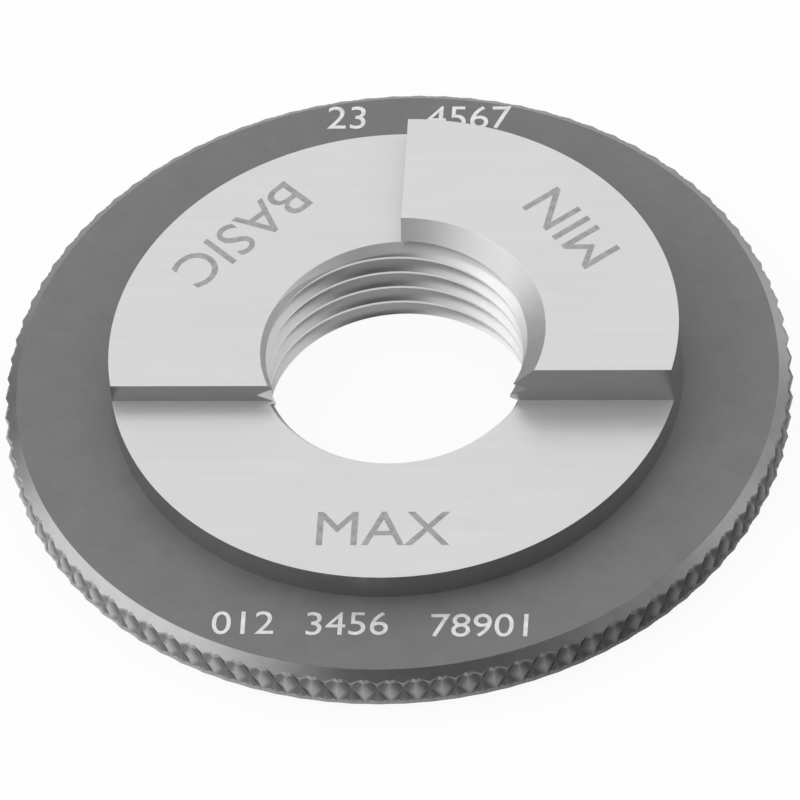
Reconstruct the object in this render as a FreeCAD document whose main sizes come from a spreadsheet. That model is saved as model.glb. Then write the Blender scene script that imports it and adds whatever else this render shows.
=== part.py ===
import FreeCAD, Part
import os
import Sketcher

# A stepped taper thread ring gauge: a knurled flange, a hub with three landings, a tapered thread.
# Z is the axis of the bore and points up; the flange's foot rests on z = 0. Lengths are in mm.

# Every size that can be set by itself
sizes = {
    # Flange
    "flange_dia": 63.0,
    "flange_height": 4.0,
    "rim_chamfer_width": 1.1,
    "rim_chamfer_height": 0.85,
    "foot_chamfer": 1.0,
    # Thread: 14 turns to the inch, narrowing upwards by 1 in 16 on the diameter
    "pitch": 1.8143,
    "taper": 0.0625,
    "foot_pitch_dia": 22.06,
    "crest_depth": 0.58,
    "root_depth": 0.68,
    "flank_angle": 30.0,
    "root_turn": 60.0,
    # Hub: the middle landing is the gauging height, the others lie one pitch below and above it
    "hub_dia": 45.6,
    "basic_height": 8.128,
    "chord_offset": 4.1,
    # Countersinks of the bore at 45 degrees, one at the foot and one on each landing: how much
    # wider than the crests each one opens
    "foot_sink": 0.4,
    "max_sink": 0.5,
    "basic_sink": 0.5,
    "min_sink": 2.06,
    "basic_sweep": 115.0,
    "max_sweep": 131.0,
    # Diamond knurl on the rim
    "knurl_count": 94,
    "knurl_angle": 30.0,
    "knurl_width": 2.0,
    "knurl_depth": 0.45,
}

# What follows from them
formulas = {
    # Low and high landing
    "max_height": "=basic_height - pitch",
    "min_height": "=basic_height + pitch",
    # Radii and heights of the turned section
    "flange_radius": "=flange_dia / 2",
    "hub_radius": "=hub_dia / 2",
    "rim_top": "=flange_height - rim_chamfer_height",
    "rim_inner": "=flange_radius - rim_chamfer_width",
    "foot_outer": "=flange_radius - foot_chamfer",
    "slope": "=taper / 2",
    "crest_radius": "=foot_pitch_dia / 2 - crest_depth",
    "foot_sink_radius": "=crest_radius + foot_sink",
    "foot_crest_height": "=(foot_sink_radius - crest_radius) / (1 - slope)",
    "foot_crest_radius": "=crest_radius - slope * foot_crest_height",
    "min_sink_radius": "=crest_radius - slope * min_height + min_sink",
    "min_crest_height": "=(min_height - min_sink_radius + crest_radius) / (1 + slope)",
    "min_crest_radius": "=crest_radius - slope * min_crest_height",
    # Triangles that cut the countersinks of the middle and the low landing, their tips inside the bore
    "tip_radius": "=crest_radius - 1.5",
    "basic_sink_radius": "=crest_radius - slope * basic_height + basic_sink",
    "basic_tip": "=basic_height - basic_sink_radius + tip_radius",
    "max_sink_radius": "=crest_radius - slope * max_height + max_sink",
    "max_tip": "=max_height - max_sink_radius + tip_radius",
    # Thread space: it runs past both ends, and its mouth lies just inside the crests. The root
    # passes the height of each landing at the same turn about the axis, counted from +X.
    "thread_start": "=basic_height - (6 + root_turn / 360) * pitch",
    "thread_height": "=min_height + pitch - thread_start",
    "start_radius": "=foot_pitch_dia / 2 - slope * thread_start",
    "mouth_radius": "=start_radius - crest_depth - 0.1",
    "root_radius": "=start_radius + root_depth",
    "mouth_half": "=pitch / 4 + (crest_depth + 0.1) * tan(flank_angle * 1deg)",
    "root_half": "=pitch / 4 - root_depth * tan(flank_angle * 1deg)",
    "mouth_low": "=thread_start - mouth_half",
    "mouth_high": "=thread_start + mouth_half",
    "root_low": "=thread_start - root_half",
    "root_high": "=thread_start + root_half",
    # One groove of the knurl
    "groove_half": "=knurl_width / 2",
    "groove_bottom": "=flange_radius - knurl_depth",
    "groove_middle": "=(rim_top + foot_chamfer) / 2",
    "groove_length": "=1.3 * flange_height",
}

doc = FreeCAD.newDocument("ring_gauge")
sheet = doc.addObject("Spreadsheet::Sheet", "Sizes")
for row, (alias, content) in enumerate([*sizes.items(), *formulas.items()], 1):
    sheet.set("A%d" % row, alias)
    sheet.set("B%d" % row, str(content))
    sheet.setAlias("B%d" % row, alias)
doc.recompute()

body = doc.addObject("PartDesign::Body", "RingGauge")
origin = {feature.Role: feature for feature in body.Origin.OriginFeatures}


def number(name):
    """The value of an alias, or of zero, with a leading minus sign where the name has one."""
    bare = name.lstrip("-")
    value = 0.0 if bare == "0" else float(sheet.get(bare))
    return -value if name.startswith("-") else value


def outline(name, role, corners):
    """A sketch on an origin plane: a closed outline through corners named by their aliases."""
    sketch = body.newObject("Sketcher::SketchObject", name)
    sketch.AttachmentSupport = [(origin[role], "")]
    sketch.MapMode = "FlatFace"
    points = [FreeCAD.Vector(number(x), number(y), 0) for x, y in corners]
    for start, end in zip(points, points[1:] + points[:1]):
        sketch.addGeometry(Part.LineSegment(start, end), False)
    for i in range(len(points)):
        sketch.addConstraint(Sketcher.Constraint("Coincident", i, 2, (i + 1) % len(points), 1))
    for i, corner in enumerate(corners):
        for kind, axis, alias in zip(("DistanceX", "DistanceY"), (-2, -1), corner):
            if alias == "0":
                sketch.addConstraint(Sketcher.Constraint("PointOnObject", i, 1, axis))
                continue
            ends = (-1, 1, i, 1) if number(alias) > 0 else (i, 1, -1, 1)
            bound = sketch.addConstraint(Sketcher.Constraint(kind, *ends, abs(number(alias))))
            bare = alias.lstrip("-")
            sign = "-" if number(bare) < 0 else ""
            sketch.setExpression("Constraints[%d]" % bound, sign + "Sizes." + bare)
    return sketch


def feature(kind, name, profile):
    """A feature of the body made from one sketch."""
    made = body.newObject("PartDesign::" + kind, name)
    made.Profile = profile
    profile.Visibility = False
    return made


# Turned blank: foot, rim, hub, the countersink of the high landing, crests, foot countersink
section = outline("Section", "XZ_Plane", [
    ("foot_sink_radius", "0"),
    ("foot_outer", "0"),
    ("flange_radius", "foot_chamfer"),
    ("flange_radius", "rim_top"),
    ("rim_inner", "flange_height"),
    ("hub_radius", "flange_height"),
    ("hub_radius", "min_height"),
    ("min_sink_radius", "min_height"),
    ("min_crest_radius", "min_crest_height"),
    ("foot_crest_radius", "foot_crest_height"),
])
blank = feature("Revolution", "Blank", section)
blank.ReferenceAxis = (section, ["V_Axis"])
blank.Angle = 360
doc.recompute()


def knurl(name, turn):
    """Cut a slanting V groove in the rim and repeat it around the flange."""
    sketch = outline(name + "Profile", "XY_Plane", [
        ("groove_half", "flange_radius"),
        ("0", "groove_bottom"),
        ("-groove_half", "flange_radius"),
    ])
    sketch.AttachmentOffset = FreeCAD.Placement(
        FreeCAD.Vector(0, 0, number("groove_middle")),
        FreeCAD.Rotation(FreeCAD.Vector(0, 1, 0), turn * number("knurl_angle")))
    cut = feature("Pocket", name + "Groove", sketch)
    cut.SideType = "Symmetric"
    cut.setExpression("Length", "Sizes.groove_length")
    cut.Refine = False
    doc.recompute()
    around = body.newObject("PartDesign::PolarPattern", name)
    around.Originals = [cut]
    around.Axis = (origin["Z_Axis"], [""])
    around.Angle = 360
    around.Refine = False
    around.setExpression("Occurrences", "Sizes.knurl_count")
    body.Tip = around
    doc.recompute()


# The grooves that lean to one side, then those that lean to the other, leave a row of diamonds
knurl("RightKnurl", 1)
knurl("LeftKnurl", -1)


def landing(name, height, corners):
    """Mill everything inside the outline away, from a height upwards."""
    sketch = outline(name + "Outline", "XY_Plane", corners)
    sketch.setExpression("AttachmentOffset.Base.z", "Sizes." + height)
    cut = feature("Pocket", name, sketch)
    cut.Type = "ThroughAll"
    cut.Reversed = True
    doc.recompute()
    return cut


# Middle landing on the left half, then the low landing in front of the chord
basic = landing("BasicLanding", "basic_height", [
    ("0", "flange_radius"),
    ("-flange_radius", "flange_radius"),
    ("-flange_radius", "-flange_radius"),
    ("0", "-flange_radius"),
])
low = landing("MaxLanding", "max_height", [
    ("flange_radius", "-chord_offset"),
    ("-flange_radius", "-chord_offset"),
    ("-flange_radius", "-flange_radius"),
    ("flange_radius", "-flange_radius"),
])


def countersink(name, radius, height, tip, sweep):
    """Cut a 45 degree cone under one landing, around the part of the bore that it touches."""
    sketch = outline(name + "Section", "YZ_Plane", [
        (radius, height),
        (radius, "min_height"),
        ("tip_radius", "min_height"),
        ("tip_radius", tip),
    ])
    cut = feature("Groove", name, sketch)
    cut.ReferenceAxis = (sketch, ["V_Axis"])
    cut.setExpression("Angle", "Sizes." + sweep)
    return sketch, cut


# The middle landing's cone starts at the wall under the high landing and ends in front of the chord
basic_section, basic_sink = countersink(
    "BasicSink", "basic_sink_radius", "basic_height", "basic_tip", "basic_sweep")
doc.recompute()

# The low landing's cone lies even about the front, so its sketch is turned to face forwards
max_section, max_sink = countersink(
    "MaxSink", "max_sink_radius", "max_height", "max_tip", "max_sweep")
max_section.AttachmentOffset = FreeCAD.Placement(
    FreeCAD.Vector(0, 0, 0), FreeCAD.Rotation(FreeCAD.Vector(0, 1, 0), 180))
max_sink.Midplane = True
doc.recompute()

# Right-hand thread: a flat-tipped profile follows a helix that climbs and narrows with the taper.
# The helix is divided into single turns, so each face of the groove covers one turn at most.
helix = doc.addObject("Part::Helix", "ThreadPath")
helix.setExpression("Pitch", "Sizes.pitch")
helix.setExpression("Height", "Sizes.thread_height")
helix.setExpression("Radius", "Sizes.start_radius")
helix.setExpression("Angle", "-atan(Sizes.slope)")
helix.setExpression("Placement.Base.z", "Sizes.thread_start")
helix.SegmentLength = 1
path = body.newObject("PartDesign::SubShapeBinder", "ThreadPathInBody")
path.Support = [(helix, ("",))]
thread_profile = outline("ThreadProfile", "XZ_Plane", [
    ("mouth_radius", "mouth_low"),
    ("root_radius", "root_low"),
    ("root_radius", "root_high"),
    ("mouth_radius", "mouth_high"),
])
doc.recompute()
thread = feature("SubtractivePipe", "Thread", thread_profile)
thread.Spine = (path, ["Edge%d" % (i + 1) for i in range(len(path.Shape.Edges))])
thread.Mode = "Frenet"
doc.recompute()

# Nothing is written unless every step of the document holds
body.Label = "ring_gauge"
body.Tip = thread
doc.recompute()
for item in doc.Objects:
    if "Invalid" in item.State or "Error" in item.State:
        raise RuntimeError(item.Name + " failed")
if body.Shape.isNull() or not body.Shape.isValid() or len(body.Shape.Solids) != 1:
    raise RuntimeError("the gauge is not one sound solid")
for earlier, later in ((blank, basic), (basic, low), (low, basic_sink), (basic_sink, max_sink),
                       (max_sink, thread)):
    if later.Shape.Volume >= earlier.Shape.Volume - 1:
        raise RuntimeError(later.Name + " cuts nothing")

os.makedirs("parts", exist_ok=True)
body.Shape.exportStep("parts/" + body.Label + ".step")
print(body.Label, round(body.Shape.Volume, 1), "mm3,", len(body.Shape.Faces), "faces")
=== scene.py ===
import math
import bpy
import bmesh
from mathutils import Matrix, Vector


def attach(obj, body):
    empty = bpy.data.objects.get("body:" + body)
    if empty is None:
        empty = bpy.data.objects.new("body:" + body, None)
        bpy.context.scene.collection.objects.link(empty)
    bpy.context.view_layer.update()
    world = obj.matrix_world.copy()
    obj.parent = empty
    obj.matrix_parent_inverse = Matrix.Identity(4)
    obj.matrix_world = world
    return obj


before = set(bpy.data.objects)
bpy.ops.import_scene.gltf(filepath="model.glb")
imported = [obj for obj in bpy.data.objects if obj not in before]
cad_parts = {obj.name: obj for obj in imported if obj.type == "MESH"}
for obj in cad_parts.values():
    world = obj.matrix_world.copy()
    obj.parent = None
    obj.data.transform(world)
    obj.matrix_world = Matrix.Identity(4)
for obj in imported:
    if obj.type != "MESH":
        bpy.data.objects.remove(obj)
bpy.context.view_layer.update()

# The gauge is one turned, threaded and ground piece of hardened steel.
# Its hub and its foot are ground bare, the threaded bore is lapped, the flange is blackened, the
# chamfers of the rim keep a thinner, rubbed black, and the knurl is darker in its grooves and
# lighter at its tips.
MM = 0.001


class Value:
    """A shader socket that takes part in Python arithmetic and adds the nodes for it."""

    def __init__(self, tree, socket):
        self.tree = tree
        self.socket = socket

    def node(self, kind, settings=None, **sockets):
        """Add a node of any kind: its settings first, then values or links of its sockets."""
        made = self.tree.nodes.new(kind)
        for name, setting in (settings or {}).items():
            setattr(made, name, setting)
        for name, source in sockets.items():
            key = int(name[1:]) if name[0] == "_" else name.replace("_", " ")
            if isinstance(source, Value):
                self.tree.links.new(source.socket, made.inputs[key])
            else:
                made.inputs[key].default_value = source
        return made

    def take(self, kind, output=0, settings=None, **sockets):
        """One output of a new node, as a value."""
        return Value(self.tree, self.node(kind, settings, **sockets).outputs[output])

    def maths(self, operation, *others):
        rest = {"_%d" % (i + 1): other for i, other in enumerate(others)}
        return self.take("ShaderNodeMath", 0, {"operation": operation}, _0=self, **rest)

    def __add__(self, other):
        return self.maths("ADD", other)

    __radd__ = __add__

    def __sub__(self, other):
        return self.maths("SUBTRACT", other)

    def __rsub__(self, other):
        return self.take("ShaderNodeMath", 0, {"operation": "SUBTRACT"}, _0=other, _1=self)

    def __mul__(self, other):
        return self.maths("MULTIPLY", other)

    __rmul__ = __mul__

    def above(self, edge, soft):
        """From 0 below an edge to 1 above it, over a soft width."""
        return self.take("ShaderNodeMapRange", 0, None, Value=self, From_Min=edge - soft / 2,
                         From_Max=edge + soft / 2, To_Min=0.0, To_Max=1.0)

    def near(self, place, half):
        """1 within half a width of a place, 0 elsewhere."""
        return self.maths("COMPARE", place, half)

    def mix(self, first, second):
        """A colour between two, by this value."""
        made = self.node("ShaderNodeMix", {"data_type": "RGBA"}, _0=self)
        for key, colour in ((6, first), (7, second)):
            if isinstance(colour, Value):
                self.tree.links.new(colour.socket, made.inputs[key])
            else:
                made.inputs[key].default_value = (colour, colour, colour, 1.0)
        return Value(self.tree, made.outputs[2])

    def noise(self, scale, detail, stretch=(1, 1, 1), turn=0.0):
        """Noise over this place, stretched along the axes and turned about Z."""
        mapped = self.take("ShaderNodeMapping", 0, None, Vector=self, Scale=stretch,
                           Rotation=(0, 0, turn))
        return self.take("ShaderNodeTexNoise", 0, None, Vector=mapped, Scale=scale, Detail=detail)


def paint(name):
    """A material, its main shader, and the object coordinates as a first value."""
    material = bpy.data.materials.new(name)
    material.use_nodes = True
    tree = material.node_tree
    place = Value(tree, tree.nodes.new("ShaderNodeTexCoord").outputs["Object"])
    return material, tree.nodes["Principled BSDF"], place


LANDINGS = (6.3137 * MM, 8.128 * MM, 9.9423 * MM)
FLANGE_TOP = 4.0 * MM
HUB_RADIUS = 22.8 * MM
CHORD = -4.1 * MM
BORE_RADIUS = 12.25 * MM
RIM_RADIUS = 30.42 * MM
SINK_FOOT = 7.65 * MM
TIP_RADIUS = 31.26 * MM
TIP_FADE = 0.22 * MM
BAND_LOW = 1.05 * MM
BAND_HIGH = 3.12 * MM
LIFT = 0.03 * MM
SOFT = 0.1 * MM
SHARP = 0.02 * MM
HAIR = 0.01 * MM
GROUND_STEEL = 0.66
# The hub and step walls are turned steel, set darker than the landings as painted shade on their
# sides.
SHADED_TURNED_STEEL = 0.46
LAPPED_STEEL = 0.61
BLACKENED = 0.205
RUBBED_BLACK = 0.37
KNURL_GROOVE = 0.17
KNURL_TIP = 0.42

steel, shader, place = paint("gauge_steel")
axes = place.node("ShaderNodeSeparateXYZ", None, _0=place)
across, along, height = (Value(place.tree, axes.outputs[key]) for key in "XYZ")
flat = place.take("ShaderNodeVectorMath", 0, {"operation": "MULTIPLY"}, _0=place, _1=(1, 1, 0))
radius = flat.take("ShaderNodeVectorMath", 1, {"operation": "LENGTH"}, _0=flat)

raised = height.above(FLANGE_TOP + LIFT, SHARP)
foot = height.near(0.0, SHARP)
in_bore = 1 - radius.above(BORE_RADIUS, SHARP)
on_landing = height.near(LANDINGS[0], SHARP)
for level in LANDINGS[1:]:
    on_landing = on_landing.maths("MAXIMUM", height.near(level, SHARP))
cross_wall = across.near(0.0, HAIR) * height.above(LANDINGS[1] + SHARP, HAIR)
chord_wall = along.near(CHORD, HAIR) * height.above(LANDINGS[0] + SHARP, HAIR)
hub_wall = radius.above(HUB_RADIUS - SHARP, HAIR) * raised
on_wall = cross_wall.maths("MAXIMUM", chord_wall).maths("MAXIMUM", hub_wall)
on_landing = on_landing * (1 - on_wall)
in_bore = in_bore * (1 - on_landing) * (1 - on_wall) * (1 - foot)
in_sink = in_bore * height.above(SINK_FOOT, SOFT)
bare = raised.maths("MAXIMUM", foot)
on_rim = radius.above(RIM_RADIUS, SHARP) * (1 - foot)
tip = radius.above(TIP_RADIUS, TIP_FADE)
in_band = height.above(BAND_LOW, SOFT) * (1 - height.above(BAND_HIGH, SOFT))

grain = place.noise(1400, 3)
cloud = place.noise(420, 3)
stain = place.noise(90, 2)
grind = place.noise(1500, 2, (0.04, 1, 1), math.radians(8))

rim_tone = in_band.mix(RUBBED_BLACK, tip.mix(KNURL_GROOVE, KNURL_TIP))
dark_tone = on_rim.mix(BLACKENED, rim_tone)
# The walls take the darker steel: painted shade on the sides of the hub and its steps.
bare_tone = bare.mix(dark_tone, on_wall.mix(GROUND_STEEL, SHADED_TURNED_STEEL))
tone = in_bore.mix(bare_tone, LAPPED_STEEL)
shade_dark = 0.80 + grain * 0.14 + cloud * 0.26
shade_bare = 0.93 + grind * 0.09 + stain * 0.05
lit = bare.maths("MAXIMUM", in_bore)
shade = lit * shade_bare + (1 - lit) * shade_dark
grey = shade.take("ShaderNodeCombineColor", 0, None, _0=shade, _1=shade, _2=shade)
final = tone.take("ShaderNodeVectorMath", 0, {"operation": "MULTIPLY"}, _0=tone, _1=grey)
place.tree.links.new(final.socket, shader.inputs["Base Color"])
# The roughness of the black, and how far the other finishes lie above or below it
rough = (0.60 - lit * 0.24 - in_bore * 0.07 + in_sink * 0.19 - on_rim * 0.30 - on_wall * 0.06
         + (cloud - 0.5) * 0.08)
place.tree.links.new(rough.socket, shader.inputs["Roughness"])
# Ground faces and the black count as part metal; lapped, rubbed and turned faces as all metal
metal = 0.6 + 0.4 * in_bore.maths("MAXIMUM", on_rim).maths("MAXIMUM", on_wall)
place.tree.links.new(metal.socket, shader.inputs["Metallic"])
relief = grain * (1 - lit) * 0.6 + grind * lit * 0.25
bump = place.take("ShaderNodeBump", 0, None, Height=relief, Strength=0.25, Distance=0.02 * MM)
place.tree.links.new(bump.socket, shader.inputs["Normal"])

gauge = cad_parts["ring_gauge"]
gauge.data.materials.clear()
gauge.data.materials.append(steel)


# The words of the three landings: etched dark and matt into the ground steel, each in one straight
# line with its feet towards the rim. MAX, BASIC and MIN say how far the thread may stand in.
WORD_HEIGHT = 3.5 * MM
WORD_REACH = 17.6 * MM
MARK_THICKNESS = 0.03 * MM

etched, shader, place = paint("etched_mark")
speck = place.noise(1800, 3)
dark = 0.25 + speck * 0.30
depth = dark.take("ShaderNodeCombineColor", 0, None, _0=dark, _1=dark, _2=dark)
place.tree.links.new(depth.socket, shader.inputs["Base Color"])
shader.inputs["Metallic"].default_value = 1.0
shader.inputs["Roughness"].default_value = 0.5


def mark(name, text, tall, centre, turn, level, finish):
    """A line of characters lying on a face, a hair proud of it: height, middle, turn, level."""
    curve = bpy.data.curves.new(name, "FONT")
    curve.body = text
    curve.align_x = "CENTER"
    curve.resolution_u = 6
    curve.extrude = 0.5
    typed = bpy.data.objects.new(name + "_typed", curve)
    bpy.context.scene.collection.objects.link(typed)
    bpy.context.view_layer.update()
    shaped = typed.evaluated_get(bpy.context.evaluated_depsgraph_get())
    mesh = bpy.data.meshes.new_from_object(shaped)
    bpy.data.objects.remove(typed)
    mesh.name = name
    low = min(v.co.y for v in mesh.vertices)
    high = max(v.co.y for v in mesh.vertices)
    left = min(v.co.x for v in mesh.vertices)
    right = max(v.co.x for v in mesh.vertices)
    size = tall / (high - low)
    mesh.transform(Matrix.Translation((-(left + right) / 2, -(low + high) / 2, 0)))
    mesh.transform(Matrix.Diagonal((size, size, MARK_THICKNESS, 1)))
    mesh.transform(Matrix.Rotation(turn, 4, "Z"))
    mesh.transform(Matrix.Translation((*centre, level)))
    mesh.materials.clear()
    mesh.materials.append(finish)
    bm = bmesh.new()
    bm.from_mesh(mesh)
    bmesh.ops.remove_doubles(bm, verts=bm.verts, dist=1e-7)
    bmesh.ops.recalc_face_normals(bm, faces=bm.faces)
    bm.to_mesh(mesh)
    bm.free()
    piece = bpy.data.objects.new(name, mesh)
    bpy.context.scene.collection.objects.link(piece)
    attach(piece, "root")


for name, text, level, angle in (("word_max", "MAX", LANDINGS[0], -90),
                                 ("word_basic", "BASIC", LANDINGS[1], 137),
                                 ("word_min", "MIN", LANDINGS[2], 39)):
    facing = math.radians(angle)
    middle = (WORD_REACH * math.cos(facing), WORD_REACH * math.sin(facing))
    mark(name, text, WORD_HEIGHT, middle, facing + math.pi / 2, level, etched)


# The marks of the flange: plain numbers in two straight lines, one in front of the hub and one
# behind it, burnt bright through the black.
NUMBER_HEIGHT = 2.4 * MM

burnt, shader, place = paint("burnt_mark")
speck = place.noise(1800, 3)
light = 0.60 + speck * 0.40
blaze = light.take("ShaderNodeCombineColor", 0, None, _0=light, _1=light, _2=light)
place.tree.links.new(blaze.socket, shader.inputs["Base Color"])
shader.inputs["Metallic"].default_value = 1.0
shader.inputs["Roughness"].default_value = 0.5

for name, text, x, y in (("front_left_number", "012", -10.9, -25.5),
                         ("front_middle_number", "3456", -2.6, -25.6),
                         ("front_right_number", "78901", 7.9, -25.8),
                         ("back_left_number", "23", -5.6, 28.3),
                         ("back_right_number", "4567", 4.2, 28.3)):
    mark(name, text, NUMBER_HEIGHT, (x * MM, y * MM), 0, FLANGE_TOP, burnt)


# The floor: a pale table top that runs out into the white behind the gauge. It shows as white and
# keeps a faint shadow of the gauge.
FLOOR_HALF = 1.5
FLOOR_DROP = 0.02 * MM

floor_mesh = bpy.data.meshes.new("floor")
bm = bmesh.new()
bmesh.ops.create_grid(bm, x_segments=1, y_segments=1, size=FLOOR_HALF)
bmesh.ops.translate(bm, vec=(0, 0, -FLOOR_DROP), verts=bm.verts)
bm.to_mesh(floor_mesh)
bm.free()
floor = bpy.data.objects.new("floor", floor_mesh)
bpy.context.scene.collection.objects.link(floor)


def seen(value):
    """1 for rays from the camera, from gloss and through glass, 0 for others."""
    rays = value.node("ShaderNodeLightPath")
    straight = Value(value.tree, rays.outputs["Is Camera Ray"])
    glossy = Value(value.tree, rays.outputs["Is Glossy Ray"])
    through = Value(value.tree, rays.outputs["Is Transmission Ray"])
    return straight.maths("MAXIMUM", glossy).maths("MAXIMUM", through)


pale, shader, place = paint("pale_floor")
shader.inputs["Base Color"].default_value = (0.85, 0.85, 0.85, 1.0)
shader.inputs["Roughness"].default_value = 0.9
white = place.node("ShaderNodeEmission", None, Color=(1, 1, 1, 1), Strength=1.0)
blend = place.node("ShaderNodeMixShader", None, _0=seen(place) * 0.92)
place.tree.links.new(shader.outputs[0], blend.inputs[1])
place.tree.links.new(white.outputs[0], blend.inputs[2])
place.tree.links.new(blend.outputs[0], place.tree.nodes["Material Output"].inputs["Surface"])
floor_mesh.materials.append(pale)


# The camera: far away with a long lens, tilted down at the gauge and slightly rolled.
AZIMUTH = math.radians(7.2)
ELEVATION = math.radians(48.19)
ROLL = math.radians(5.5)
PICTURE_WIDTH = 800
DOTS_PER_MM = 12.55
FRAME_WIDTH = PICTURE_WIDTH / DOTS_PER_MM * MM
AIM_HEIGHT = 0.7875 * MM
AIM_SHIFT = 0.67
back = Vector((math.sin(AZIMUTH) * math.cos(ELEVATION),
               -math.cos(AZIMUTH) * math.cos(ELEVATION),
               math.sin(ELEVATION)))
right = Vector((math.cos(AZIMUTH), math.sin(AZIMUTH), 0))
up = back.cross(right)
rolled_right = right * math.cos(ROLL) - up * math.sin(ROLL)
rolled_up = right * math.sin(ROLL) + up * math.cos(ROLL)
aim = Vector((0, 0, AIM_HEIGHT)) + rolled_up * AIM_SHIFT * MM
lens = bpy.data.cameras.new("camera")
lens.lens = 1600.0
lens.sensor_width = 36.0
distance = FRAME_WIDTH * lens.lens / lens.sensor_width
lens.clip_end = distance * 3
camera = bpy.data.objects.new("camera", lens)
bpy.context.scene.collection.objects.link(camera)
turned = Matrix((rolled_right, rolled_up, back)).transposed().to_4x4()
camera.matrix_world = Matrix.Translation(aim + back * distance) @ turned
bpy.context.scene.camera = camera


# The light: a white sky, a large soft box at the left, grey screens round the gauge and a grey
# cloth on the floor. Screens and cloth are only seen in gloss, where they keep some of the faces
# dark.
world = bpy.data.worlds.new("studio")
world.use_nodes = True
bpy.context.scene.world = world
sky = world.node_tree.nodes["Background"]
sky.inputs["Color"].default_value = (1.0, 1.0, 1.0, 1.0)
sky.inputs["Strength"].default_value = 1.0


def soft_box(name, azimuth, elevation, far, wide, tall, glow):
    """A lamp that faces the gauge, by degrees to the right of the camera and above the floor."""
    lamp = bpy.data.lights.new(name, "AREA")
    lamp.shape = "RECTANGLE"
    lamp.size = wide
    lamp.size_y = tall
    lamp.energy = glow * math.pi * wide * tall
    box = bpy.data.objects.new(name, lamp)
    bpy.context.scene.collection.objects.link(box)
    a, e = AZIMUTH + math.radians(azimuth), math.radians(elevation)
    way = Vector((math.sin(a) * math.cos(e), -math.cos(a) * math.cos(e), math.sin(e)))
    facing = way.to_track_quat("Z", "Y").to_matrix().to_4x4()
    box.matrix_world = Matrix.Translation(way * far) @ facing


soft_box("left_box", -92, 36, 0.6, 0.5, 0.5, 0.7)


SHEET_STEPS = 24


def sheet(name, ends, start, turn, grey):
    """A sheet spun about the axis from a line, in one grey or a shaded one; only gloss shows it."""
    mesh = bpy.data.meshes.new(name)
    bm = bmesh.new()
    edge = bm.edges.new([bm.verts.new(end) for end in ends])
    bmesh.ops.rotate(bm, cent=(0, 0, 0), matrix=Matrix.Rotation(start, 3, "Z"), verts=bm.verts)
    bmesh.ops.spin(bm, geom=[edge, *bm.verts], cent=(0, 0, 0), axis=(0, 0, 1), dvec=(0, 0, 0),
                   angle=turn, steps=SHEET_STEPS, use_merge=turn == math.tau)
    bm.to_mesh(mesh)
    bm.free()
    made = bpy.data.objects.new(name, mesh)
    bpy.context.scene.collection.objects.link(made)
    cloth, _, place = paint(name)
    shade = grey(place) if callable(grey) else grey
    glow = place.node("ShaderNodeEmission")
    if isinstance(shade, Value):
        place.tree.links.new(shade.mix(0.0, 1.0).socket, glow.inputs["Color"])
    else:
        glow.inputs["Color"].default_value = (shade, shade, shade, 1.0)
    place.tree.links.new(glow.outputs[0], place.tree.nodes["Material Output"].inputs["Surface"])
    mesh.materials.append(cloth)
    made.visible_camera = False
    made.visible_diffuse = False
    made.visible_shadow = False
    made.visible_transmission = False


SCREEN_REACH = 0.5
for name, near, far, low, high, grey in (("front_screen", -42, 45, 24, 60, 0.15),
                                         ("right_screen", 45, 82, 10, 56, 0.4),
                                         ("side_screen", 82, 125, 0, 26, 0.5),
                                         ("top_screen", -38, 90, 60, 89, 0.07),
                                         ("back_screen", -165, -118, 0, 20, 0.2)):
    ends = [Vector((SCREEN_REACH * math.cos(e), 0, SCREEN_REACH * math.sin(e)))
            for e in (math.radians(low), math.radians(high))]
    sheet(name, ends, AZIMUTH + math.radians(near) - math.pi / 2, math.radians(far - near), grey)


def towards(place, degrees):
    """How far a place on the floor lies towards a bearing: 1 on it, 0 at its sides and behind."""
    bearing = AZIMUTH + math.radians(degrees)
    flat = place.take("ShaderNodeVectorMath", 0, {"operation": "MULTIPLY"}, _0=place, _1=(1, 1, 0))
    way = flat.take("ShaderNodeVectorMath", 0, {"operation": "NORMALIZE"}, _0=flat)
    facing = way.take("ShaderNodeVectorMath", 1, {"operation": "DOT_PRODUCT"}, _0=way,
                      _1=(math.sin(bearing), -math.cos(bearing), 0))
    return facing.maths("MAXIMUM", 0.0)


def floor_grey(place):
    """A grey that is lightest at the left front and deepest at the right front."""
    dark = towards(place, 30)
    return 0.6 + towards(place, -60) * 0.4 - dark * dark * 0.33


CLOTH_START = 0.02
CLOTH_HEIGHT = 0.03 * MM
sheet("floor_cloth",
      (Vector((CLOTH_START, 0, CLOTH_HEIGHT)), Vector((SCREEN_REACH, 0, CLOTH_HEIGHT))),
      0, math.tau, floor_grey)

bpy.context.scene.view_settings.view_transform = "Standard"
